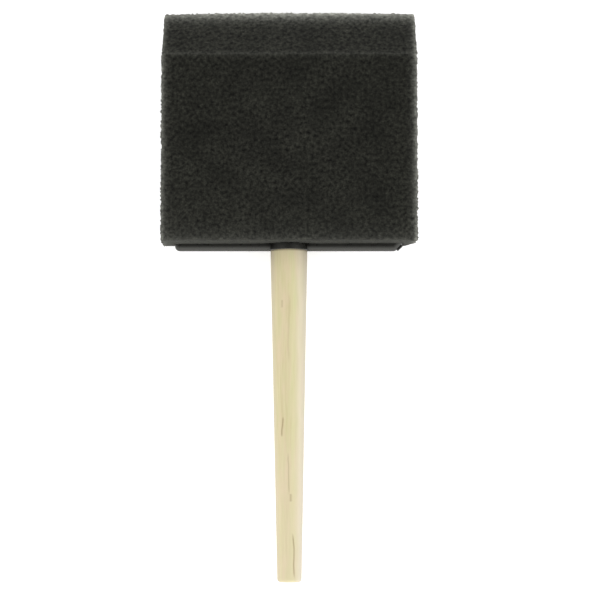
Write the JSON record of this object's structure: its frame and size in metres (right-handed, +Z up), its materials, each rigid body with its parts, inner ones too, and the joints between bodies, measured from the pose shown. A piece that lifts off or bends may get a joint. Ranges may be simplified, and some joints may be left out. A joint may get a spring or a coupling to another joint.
{
  "type": "foam sponge brush",
  "caption": "Foam paint brush: chisel-edged foam head on a moulded plastic core, with a tapered wooden handle glued into the core's socket.",
  "frame": {"origin": "below the middle of the brush's whole length, on the surface that the foam's flat back lies on", "axes": "+X across the brush's width, +Y from the handle to the foam's chisel edge, +Z up through the foam's thickness"},
  "size_m": [0.075, 0.17, 0.021],
  "materials": {
    "foam": "open-cell foam, probably polyurethane, dark grey, fine even pores, dull",
    "core_plastic": "black injection-moulded plastic, probably polypropylene, satin",
    "wood": "bare turned pale hardwood such as birch, fine straight grain, unvarnished",
    "glue": "cured adhesive, translucent amber, smooth"
  },
  "bodies": {
    "root": {"foam_head": "foam", "core": "core_plastic", "handle": "wood", "handle_glue": "glue", "front_foam_glue": "glue", "back_foam_glue": "glue"}
  },
  "joints": []
}
